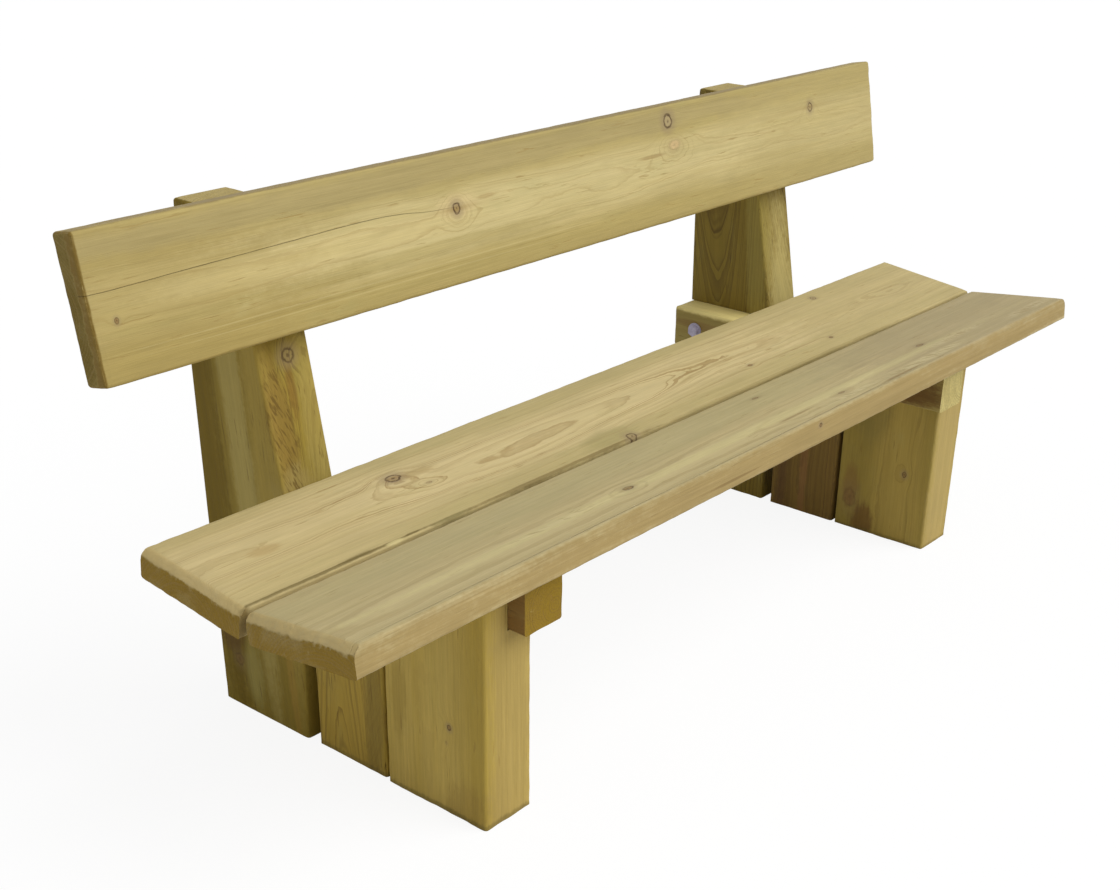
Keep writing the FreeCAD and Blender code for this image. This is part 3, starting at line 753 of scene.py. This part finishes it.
right_leg = short_board("right_front_leg", foot, UP, BACK, LEG_CUTS, 2)
right_leg_finish = treated_pine(
    "pine_right_front_leg", right_leg, pith=(-0.03, -0.12), spacing=0.0050, heart=0.13,
    tan=tint(176, 152, 78), olive=tint(154, 134, 64), line=tint(120, 96, 46), end=FOOT_END,
    seed=2.0, ring_depth=0.35,
    knots=[Knot(0.144, -0.045, 0.0050, 1.2, 0.004, 0.9, 1.0, 0.3),
           Knot(0.064, 0.070, 0.0150, 1.4, 0.012, 0.8, 0.35)],
    # painted light: the patch on the next line gives the front face its own lighter, greyer tone,
    # apart from the darker side faces, so lit front and shaded side are painted into the colour
    stains_and_painted_light=[StainOrPaintedLight((0.20, -0.100, -0.05), (0.60, 0.012, 0.06), tint(184, 162, 106), 0.6),
            StainOrPaintedLight((0.30, 0.040, 0), (0.14, 0.06, 0.02), tint(140, 124, 66), 0.6),
            StainOrPaintedLight((0.02, 0.040, 0), (0.05, 0.035, 0.05), tint(112, 78, 40), 0.7, 0.3),
            StainOrPaintedLight((0.09, 0.070, 0), (0.06, 0.024, 0.05), tint(132, 96, 54), 0.5),
            # painted shade: the patch on the next line darkens the top of the leg's left-hand
            # face, under the seat
            StainOrPaintedLight((0.36, 0.0, 0), (0.06, 0.14, 0.03), tint(118, 96, 46), 0.6),
            StainOrPaintedLight((0.0, 0.0, 0.0), (0.010, 0.3, 0.3), FOOT_DARK, 0.5)])
right_leg.made(right_leg_finish)


# Middle legs: the second plank of each frame, narrower, its top planed to the slope of the
# rear seat plank that rests on it.
MIDDLE_TAN = tint(186, 157, 70)
MIDDLE_OLIVE = tint(160, 135, 52)
MIDDLE_LINE = tint(118, 92, 42)

left_middle = short_board("left_middle_leg", foot, UP, BACK, LEG_CUTS, 3)
left_middle_finish = treated_pine(
    "pine_left_middle_leg", left_middle, pith=(0.024, -0.045), spacing=0.0058, heart=0.105,
    tan=MIDDLE_TAN, olive=MIDDLE_OLIVE, line=MIDDLE_LINE, end=FOOT_END, seed=3.0,
    taper=0.055, waver=0.012, ring_depth=0.75,
    stains_and_painted_light=[StainOrPaintedLight((0.12, -0.052, 0), (0.3, 0.026, 0.05), tint(128, 110, 54), 0.6, 0.3),
            StainOrPaintedLight((0.0, 0.0, 0.0), (0.012, 0.3, 0.3), FOOT_DARK, 0.5)])
left_middle.made(left_middle_finish)

right_middle = short_board("right_middle_leg", foot, UP, BACK, LEG_CUTS, 4)
right_middle_finish = treated_pine(
    "pine_right_middle_leg", right_middle, pith=(0.01, -0.12), spacing=0.0045, heart=0.15,
    tan=tint(130, 105, 52), olive=tint(112, 90, 42), line=tint(84, 58, 34), end=FOOT_END,
    seed=4.0, stains_and_painted_light=[StainOrPaintedLight((0.1, 0.0, 0), (0.2, 0.012, 0.05), tint(146, 106, 66), 0.6),
                      StainOrPaintedLight((0.1, 0.05, 0), (0.3, 0.016, 0.05), tint(92, 66, 44), 0.6, 0.3)])
right_middle.made(right_middle_finish)


# Back posts: long planks cut to lean with the backrest, screwed to its back; their feet
# stand behind the middle legs and their tops show above the backrest as a low step.
# Their grain leans a little, as the taper does.
POST_TAN = tint(158, 137, 58)
POST_OLIVE = tint(142, 121, 46)
POST_LINE = tint(92, 68, 28)
POST_TOP = tint(186, 166, 104)
POST_LEAN = math.radians(5)
POST_GRAIN = (0, math.sin(POST_LEAN), math.cos(POST_LEAN))
POST_FACE = (0, math.cos(POST_LEAN), -math.sin(POST_LEAN))
POST_CUTS = (0.011, 0.010, 0.012)

left_post = short_board("left_back_post", foot, POST_GRAIN, POST_FACE, POST_CUTS, 5)
left_post_finish = treated_pine(
    "pine_left_back_post", left_post, pith=(-0.155, -0.100), spacing=0.0046, heart=0.085,
    tan=POST_TAN, olive=POST_OLIVE, line=POST_LINE, end=POST_TOP, seed=5.0, taper=-0.01,
    waver=0.02, ring_depth=0.5,
    knots=[Knot(0.594, -0.056, 0.0115, 0.95, 0.012, 0.05, 1.0, 0.0, "edge"),
           Knot(0.090, 0.048, 0.0100, 1.2, 0.010, 0.6, 0.4, 0.5),
           Knot(0.148, 0.060, 0.0080, 1.2, 0.006, 0.6, 0.4)],
    torn_about="Y_AXIS",
    stains_and_painted_light=[StainOrPaintedLight((0.47, 0.055, 0), (0.70, 0.060, 0.03), tint(112, 91, 16), 0.85),
            StainOrPaintedLight((0.45, -0.100, 0), (0.50, 0.060, 0.03), tint(172, 149, 72), 0.75),
            StainOrPaintedLight((0.46, -0.030, 0), (0.60, 0.034, 0.03), tint(176, 158, 90), 0.8),
            StainOrPaintedLight((0.50, -0.120, -0.022), (0.17, 0.05, 0.030), tint(140, 114, 52), 0.75, 1.0),
            StainOrPaintedLight((0.55, -0.120, -0.052), (0.07, 0.05, 0.014), tint(134, 102, 42), 0.75, 0.3),
            StainOrPaintedLight((0.47, -0.120, -0.084), (0.40, 0.06, 0.032), tint(168, 149, 80), 0.7),
            StainOrPaintedLight((0.40, -0.120, -0.030), (0.05, 0.06, 0.040), tint(170, 150, 86), 0.7),
            StainOrPaintedLight((0.07, 0.015, 0), (0.08, 0.026, 0.05), tint(170, 158, 92), 0.5),
            StainOrPaintedLight((0.14, 0.060, 0), (0.05, 0.040, 0.05), tint(104, 78, 38), 0.7, 0.3),
            StainOrPaintedLight((0.08, -0.078, 0), (0.14, 0.012, 0.05), tint(166, 130, 58), 0.4)])
left_post.made(left_post_finish)

right_post = short_board("right_back_post", foot, POST_GRAIN, POST_FACE, POST_CUTS, 6)
right_post_finish = treated_pine(
    "pine_right_back_post", right_post, pith=(0.0035, -0.136), spacing=0.0044, heart=0.25,
    tan=tint(136, 116, 48), olive=tint(118, 99, 38), line=tint(72, 52, 22), end=POST_TOP,
    seed=6.2, taper=-0.0464, waver=0.006, unrest=0.4, ring_depth=0.8,
    # painted light: the patch on the next line paints the post's front face much paler than its
    # side, standing in for the light that falls on it
    stains_and_painted_light=[StainOrPaintedLight((0.50, -0.140, -0.055), (0.5, 0.06, 0.075), tint(182, 166, 104), 0.95),
            StainOrPaintedLight((0.52, -0.090, 0), (0.4, 0.030, 0.05), tint(160, 144, 74), 0.75),
            StainOrPaintedLight((0.62, 0.02, 0), (0.07, 0.07, 0.05), tint(104, 84, 38), 0.6)])
right_post.made(right_post_finish)


# Bearers: square rails from front to back that the seat planks lie on, housed into the
# uprights and hollowed along the top so that the seat dips in the middle.
BEARER_LINE = tint(106, 80, 38)
BEARER_CUTS = (0.012, 0.010, 0.010)
DOWN = (0, 0, -1)


def shoulder(node):
    # the left-hand top edge of a bearer, halfway between the front and the back of the bench
    low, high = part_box(node)
    return low.x, 0, high.z


left_bearer = short_board("left_bearer", shoulder, BACK, DOWN, BEARER_CUTS, 7)
left_bearer_finish = treated_pine(
    "pine_left_bearer", left_bearer, pith=(0.05, -0.06), spacing=0.0045, heart=0.05,
    tan=tint(146, 108, 60), olive=tint(130, 100, 52), line=BEARER_LINE,
    end=tint(148, 119, 30), seed=7.0,
    stains_and_painted_light=[StainOrPaintedLight((-0.297, 0.040, -0.017), (0.012, 0.014, 0.014), tint(190, 170, 104), 0.9)])
left_bearer.made(left_bearer_finish)

right_bearer = short_board("right_bearer", shoulder, BACK, DOWN, BEARER_CUTS, 8)
right_bearer_finish = treated_pine(
    "pine_right_bearer", right_bearer, pith=(0.03, -0.10), spacing=0.0045, heart=0.06,
    tan=tint(168, 148, 84), olive=tint(160, 142, 80), line=BEARER_LINE,
    end=tint(206, 190, 122), seed=8.0,
    # painted light: the patch on the next line paints the top of the bearer's block behind the
    # seat pale, standing in for light where the post and backrest shade it
    stains_and_painted_light=[StainOrPaintedLight((0.20, 0.0, -0.03), (0.20, 0.010, 0.10), tint(236, 218, 144), 0.95),
            # painted shade: the next two patches darken the bearer's left-hand side under the
            # seat, where the seat shades it
            StainOrPaintedLight((-0.10, 0.04, 0), (0.22, 0.06, 0.03), tint(122, 84, 50), 0.8),
            StainOrPaintedLight((-0.22, 0.045, 0), (0.12, 0.05, 0.03), tint(100, 70, 30), 0.8),
            StainOrPaintedLight((0.24, 0.030, 0), (0.10, 0.012, 0.02), tint(140, 108, 66), 0.5)])
right_bearer.made(right_bearer_finish)


# Coach screws and washers of the frames, the seat and the backrest: hot-dip galvanised
# steel, pale bluish grey with soft mottled spangle.
SCREW_GREY = tint(196, 190, 208)
SCREW_DARK = tint(158, 152, 174)

SPANGLES_PER_METRE = 420.0
ZINC_DEPTH = 0.00015
ZINC_GLOSS = 0.5
ZINC_METAL = 0.3

zinc = Finish(bpy.data.materials.new("zinc_coat"))
zinc_place = zinc.node("ShaderNodeTexCoord", {}, {}, "Object")
zinc_spangle = zinc.node("ShaderNodeTexVoronoi", {}, {
    "Vector": zinc_place, "Scale": SPANGLES_PER_METRE}, 1)
zinc_spangle_level = zinc.node("ShaderNodeSeparateColor", {}, {0: zinc_spangle})
zinc_cloud = zinc.clouds(zinc_place, 160, 160, 3, 0.6, 1)
zinc_mottle = zinc_spangle_level * 0.4 + zinc_cloud * 0.6
zinc_colour = zinc.colours(zinc_mottle, SCREW_DARK, SCREW_GREY)
zinc_roughness = 0.42 + zinc_cloud * 0.25
zinc_coat = zinc.finished(zinc_colour, zinc_roughness, zinc_mottle,
                          ZINC_DEPTH, ZINC_GLOSS, ZINC_METAL)

for side in ("left", "right"):
    for joint in ("frame", "seat", "backrest"):
        for part in ("screws", "screw_washers"):
            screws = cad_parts[f"{side}_{joint}_{part}"]
            screws.material_slots[0].material = zinc_coat


# Rear seat plank: planed treated pine, heart side up, sloping down to the front; it rests
# on the bearers and the middle legs and is screwed from below.
SEAT_SLOPE = math.radians(6.9)
VALLEY_HEIGHT = 0.415
REAR_VALLEY = -0.1148
SEAT_GAP = 0.008
SEAT_TAN = tint(207, 189, 139)
SEAT_OLIVE = tint(185, 169, 118)
SEAT_LINE = tint(156, 128, 78)
PLANK_END = tint(148, 119, 38)
SEAT_LIP = Lip(tint(200, 177, 120), 0.011, 0.75)
# painted shade: the dark of the valley where the two seat planks meet
PAINTED_VALLEY_SHADE = tint(102, 88, 46)
END_BEVEL = 0.011
RIGHT = (1, 0, 0)
LEFT = (-1, 0, 0)
ROUND_LEFT = 0.013
ROUND_RIGHT = 0.010
TORN_SPAN = 0.018
TORN_STEP = 0.0017
PLANK_CUTS = (0.012, 0.005, 0.009)
END_STEPS = (0.0015, 0.003, 0.0045, 0.006, 0.0075, 0.009, 0.011, 0.013, 0.016, 0.020, 0.026)


def plank(node, origin, along, across):
    # a long board, cut small and most closely near both its ends, where it wears most
    board = Board(node, origin, along, across)
    ends = [board.low.x + step for step in END_STEPS]
    ends += [board.high.x - step for step in END_STEPS]
    board.divide(*PLANK_CUTS, ends)
    return board


rear_plank = plank("seat_plank_rear", (0, REAR_VALLEY, VALLEY_HEIGHT),
                   RIGHT, (0, math.cos(SEAT_SLOPE), math.sin(SEAT_SLOPE)))
rear_plank.refine_end(-1, TORN_SPAN, TORN_STEP)
rear_plank.round_end(-1, END_BEVEL, ROUND_LEFT)
rear_plank.round_end(1, END_BEVEL, ROUND_RIGHT)
rear_plank.weather(9, torn=[Tear(-1, 0.014, 0.0013), Tear(1, 0.010, 0.0007)])
rear_finish = treated_pine(
    "pine_rear_seat_plank", rear_plank, pith=(0.100, -0.072), spacing=0.0050, heart=0.092,
    tan=SEAT_TAN, olive=SEAT_OLIVE, line=SEAT_LINE, end=PLANK_END, seed=9.0, waver=0.045,
    ring_depth=0.7, lip=SEAT_LIP,
    knots=[Knot(-0.564, 0.136, 0.0090, 1.5, 0.012, 0.4, 1.2, 0.5),
           Knot(-0.530, 0.095, 0.0030, 2.0, 0.008, 0.4, 0.5, 0.4),
           Knot(0.625, 0.170, 0.0055, 1.3, 0.005, 0.15, 0.9),
           Knot(-0.165, 0.006, 0.0085, 1.2, 0.008, 0.2, 1.1),
           Knot(0.236, 0.053, 0.0035, 1.6, 0.004, 0.9, 0.8, 1.0),
           Knot(0.478, 0.035, 0.0030, 1.6, 0.003, 0.9, 0.8, 0.6)],
    stains_and_painted_light=[StainOrPaintedLight((0.80, 0.10, 0), (0.50, 0.30, 0.10), tint(190, 173, 121), 0.8),
            StainOrPaintedLight((-0.86, 0.12, 0), (0.30, 0.30, 0.10), tint(197, 178, 127), 0.5),
            StainOrPaintedLight((-0.962, 0.0, -0.02), (0.020, 0.012, 0.05), tint(118, 96, 48), 0.8),
            StainOrPaintedLight((-0.86, 0.196, 0), (0.20, 0.030, 0.05), tint(180, 163, 112), 0.6),
            StainOrPaintedLight((-0.84, 0.095, 0), (0.035, 0.014, 0.05), tint(176, 148, 96), 0.5),
            StainOrPaintedLight((-0.53, 0.128, 0), (0.060, 0.012, 0.03), tint(168, 144, 92), 0.5),
            StainOrPaintedLight((-0.20, 0.024, 0), (0.085, 0.028, 0.03), tint(154, 144, 92), 0.45),
            # painted shade and painted highlight: the next seven patches draw thin dark lines and
            # pockets of shade along the valley edge where the two planks meet, and at -0.690 one
            # pale line of highlight on its rounded arris
            StainOrPaintedLight((-0.80, 0.0045, 0), (0.26, 0.0034, 0.02), PAINTED_VALLEY_SHADE, 0.75),
            StainOrPaintedLight((-0.757, 0.006, 0), (0.045, 0.004, 0.02), PAINTED_VALLEY_SHADE, 0.6),
            StainOrPaintedLight((-0.690, 0.003, 0), (0.022, 0.004, 0.02), tint(204, 190, 134), 0.8),
            StainOrPaintedLight((-0.655, 0.005, 0), (0.018, 0.003, 0.02), PAINTED_VALLEY_SHADE, 0.6),
            StainOrPaintedLight((-0.575, 0.003, 0), (0.055, 0.004, 0.02), tint(112, 104, 60), 0.7),
            StainOrPaintedLight((-0.35, 0.003, 0), (0.30, 0.0034, 0.02), tint(116, 98, 54), 0.7),
            StainOrPaintedLight((0.30, 0.002, 0), (0.50, 0.003, 0.02), tint(140, 124, 74), 0.5)])
rear_plank.made(rear_finish)


# Front seat plank: the same board turned the other way, sloping down to the rear, its
# rounded front edge standing forward of the legs.
FRONT_TAN = tint(201, 185, 138)
FRONT_OLIVE = tint(186, 171, 126)
FRONT_LINE = tint(150, 128, 82)
NOSE_BROWN = tint(164, 141, 90)

front_plank = plank("seat_plank_front", (0, REAR_VALLEY - SEAT_GAP, VALLEY_HEIGHT),
                    LEFT, (0, -math.cos(SEAT_SLOPE), math.sin(SEAT_SLOPE)))
front_plank.refine_end(1, TORN_SPAN, TORN_STEP)
front_plank.round_end(1, END_BEVEL, ROUND_LEFT)
front_plank.round_end(-1, END_BEVEL, ROUND_RIGHT)
front_plank.weather(10, torn=[Tear(1, 0.014, 0.0017), Tear(-1, 0.010, 0.0007)])
front_finish = treated_pine(
    "pine_front_seat_plank", front_plank, pith=(0.145, -0.125), spacing=0.0052, heart=0.128,
    tan=FRONT_TAN, olive=FRONT_OLIVE, line=FRONT_LINE, end=PLANK_END, seed=10.0, waver=0.02,
    ring_depth=0.5, lip=SEAT_LIP,
    knots=[Knot(0.363, 0.135, 0.0060, 1.7, 0.006, 0.7, 0.9, 0.6),
           Knot(-0.192, 0.154, 0.0040, 2.2, 0.005, 0.5, 0.6, 0.8),
           Knot(-0.103, 0.041, 0.0035, 2.4, 0.003, 0.6, 0.7, 0.8),
           Knot(-0.053, -0.012, 0.0035, 1.2, 0.002, 1.0, 1.0, 0.0, "edge"),
           Knot(-0.520, 0.120, 0.0050, 2.2, 0.006, 0.5, 0.7, 0.8)],
    stains_and_painted_light=[StainOrPaintedLight((0.05, 0.045, 0), (1.3, 0.050, 0.03), tint(182, 171, 126), 0.5),
            StainOrPaintedLight((-0.75, 0.10, 0), (0.60, 0.30, 0.10), tint(169, 153, 116), 0.6),
            StainOrPaintedLight((0.962, 0.0, -0.02), (0.020, 0.010, 0.05), tint(118, 96, 48), 0.7),
            StainOrPaintedLight((0.10, 0.138, 0), (1.1, 0.016, 0.02), tint(212, 200, 146), 0.6),
            StainOrPaintedLight((0.00, 0.204, -0.024), (2.4, 0.012, 0.050), NOSE_BROWN, 0.95),
            StainOrPaintedLight((0.19, 0.204, -0.030), (0.10, 0.020, 0.003), tint(136, 112, 68), 0.7),
            StainOrPaintedLight((-0.20, 0.172, 0), (0.12, 0.009, 0.02), tint(208, 195, 150), 0.6, 0.8),
            StainOrPaintedLight((-0.46, 0.176, 0), (0.18, 0.015, 0.02), tint(208, 195, 150), 0.6, 1.0),
            StainOrPaintedLight((-0.61, 0.146, 0), (0.13, 0.011, 0.02), tint(208, 194, 150), 0.6, 1.0),
            StainOrPaintedLight((-0.87, 0.172, 0), (0.13, 0.016, 0.02), tint(204, 190, 148), 0.5, 1.0),
            StainOrPaintedLight((0.52, 0.136, 0), (0.12, 0.007, 0.02), tint(206, 192, 146), 0.5, 0.8),
            StainOrPaintedLight((-0.34, 0.186, 0), (0.10, 0.004, 0.02), tint(142, 118, 76), 0.6, 0.4),
            StainOrPaintedLight((-0.05, 0.156, 0), (0.07, 0.004, 0.02), tint(148, 126, 82), 0.6, 0.4)],
    crack=Crack([(-0.962, 0.1905), (-0.30, 0.1890), (0.30, 0.1915), (0.962, 0.1895)],
                width=0.0014, strength=0.12, middle=0.25, half=0.85))
front_plank.made(front_finish)


# Backrest plank: planed treated pine, leaning back on the posts, with a drying crack
# along its left half, four knots on its face and a pale bruise under one of them.
BACK_SLOPE = math.radians(10.7)
BACK_FOOT = (0, 0.1283, 0.642)
BACK_TAN = tint(203, 187, 133)
BACK_OLIVE = tint(176, 158, 99)
BACK_LINE = tint(158, 132, 77)
BACK_LIP = Lip(tint(130, 106, 48), 0.014, 0.95)

back_plank = plank("backrest_plank", BACK_FOOT,
                   RIGHT, (0, math.sin(BACK_SLOPE), math.cos(BACK_SLOPE)))
back_plank.weather(11, torn=[Tear(-1, 0.012, 0.0006), Tear(1, 0.012, 0.0012)])
back_finish = treated_pine(
    "pine_backrest_plank", back_plank, pith=(0.102, -0.085), spacing=0.0052, heart=0.096,
    tan=BACK_TAN, olive=BACK_OLIVE, line=BACK_LINE, end=tint(118, 99, 34), seed=11.0,
    ring_depth=0.4, waver=0.03, lip=BACK_LIP,
    knots=[Knot(-0.915, 0.081, 0.0042, 0.8, 0.003, 0.9, 0.8),
           Knot(-0.286, 0.114, 0.0085, 1.0, 0.022, 0.5, 1.25, 1.0),
           Knot(0.261, 0.171, 0.0120, 0.95, 0.010, 0.05, 1.2),
           Knot(0.274, 0.129, 0.0090, 1.8, 0.020, 0.0, 0.25),
           Knot(0.718, 0.138, 0.0085, 0.9, 0.012, 0.10, 1.0, 0.8)],
    stains_and_painted_light=[StainOrPaintedLight((-0.95, 0.06, 0), (0.50, 0.20, 0.1), tint(166, 145, 84), 0.65),
            StainOrPaintedLight((-0.30, 0.175, 0), (1.4, 0.026, 0.1), tint(170, 154, 106), 0.65),
            StainOrPaintedLight((-0.55, 0.100, 0), (0.40, 0.026, 0.1), tint(205, 187, 130), 0.5),
            StainOrPaintedLight((-0.45, 0.062, 0), (0.60, 0.014, 0.1), tint(162, 146, 88), 0.35),
            StainOrPaintedLight((-0.40, 0.039, 0), (0.70, 0.0016, 0.1), tint(204, 188, 134), 0.35),
            StainOrPaintedLight((-0.42, 0.034, 0), (0.60, 0.0012, 0.1), tint(148, 130, 78), 0.3),
            StainOrPaintedLight((-0.45, 0.029, 0), (0.55, 0.0014, 0.1), tint(202, 186, 132), 0.3),
            StainOrPaintedLight((-0.286, 0.118, 0), (0.060, 0.024, 0.1), tint(212, 190, 140), 0.5),
            StainOrPaintedLight((-0.215, 0.122, 0), (0.030, 0.005, 0.1), tint(168, 142, 92), 0.5),
            StainOrPaintedLight((0.274, 0.129, 0), (0.022, 0.011, 0.1), tint(212, 184, 134), 0.8),
            StainOrPaintedLight((0.205, 0.118, 0), (0.050, 0.004, 0.1), tint(158, 132, 84), 0.6),
            StainOrPaintedLight((0.261, 0.171, 0), (0.012, 0.010, 0.1), tint(206, 188, 134), 0.7),
            StainOrPaintedLight((0.80, 0.08, 0), (0.45, 0.20, 0.1), tint(182, 165, 110), 0.45),
            StainOrPaintedLight((-0.1, 0.2, -0.022), (1.6, 0.0035, 0.05), tint(134, 116, 80), 0.7)],
    crack=Crack([(-0.960, 0.1195), (-0.882, 0.1200), (-0.789, 0.1220), (-0.690, 0.1240),
                 (-0.585, 0.1260), (-0.501, 0.1275), (-0.414, 0.1260), (-0.330, 0.1180),
                 (0.960, 0.105)],
                width=0.0007, strength=0.35, middle=-0.66, half=0.42))
back_plank.made(back_finish)
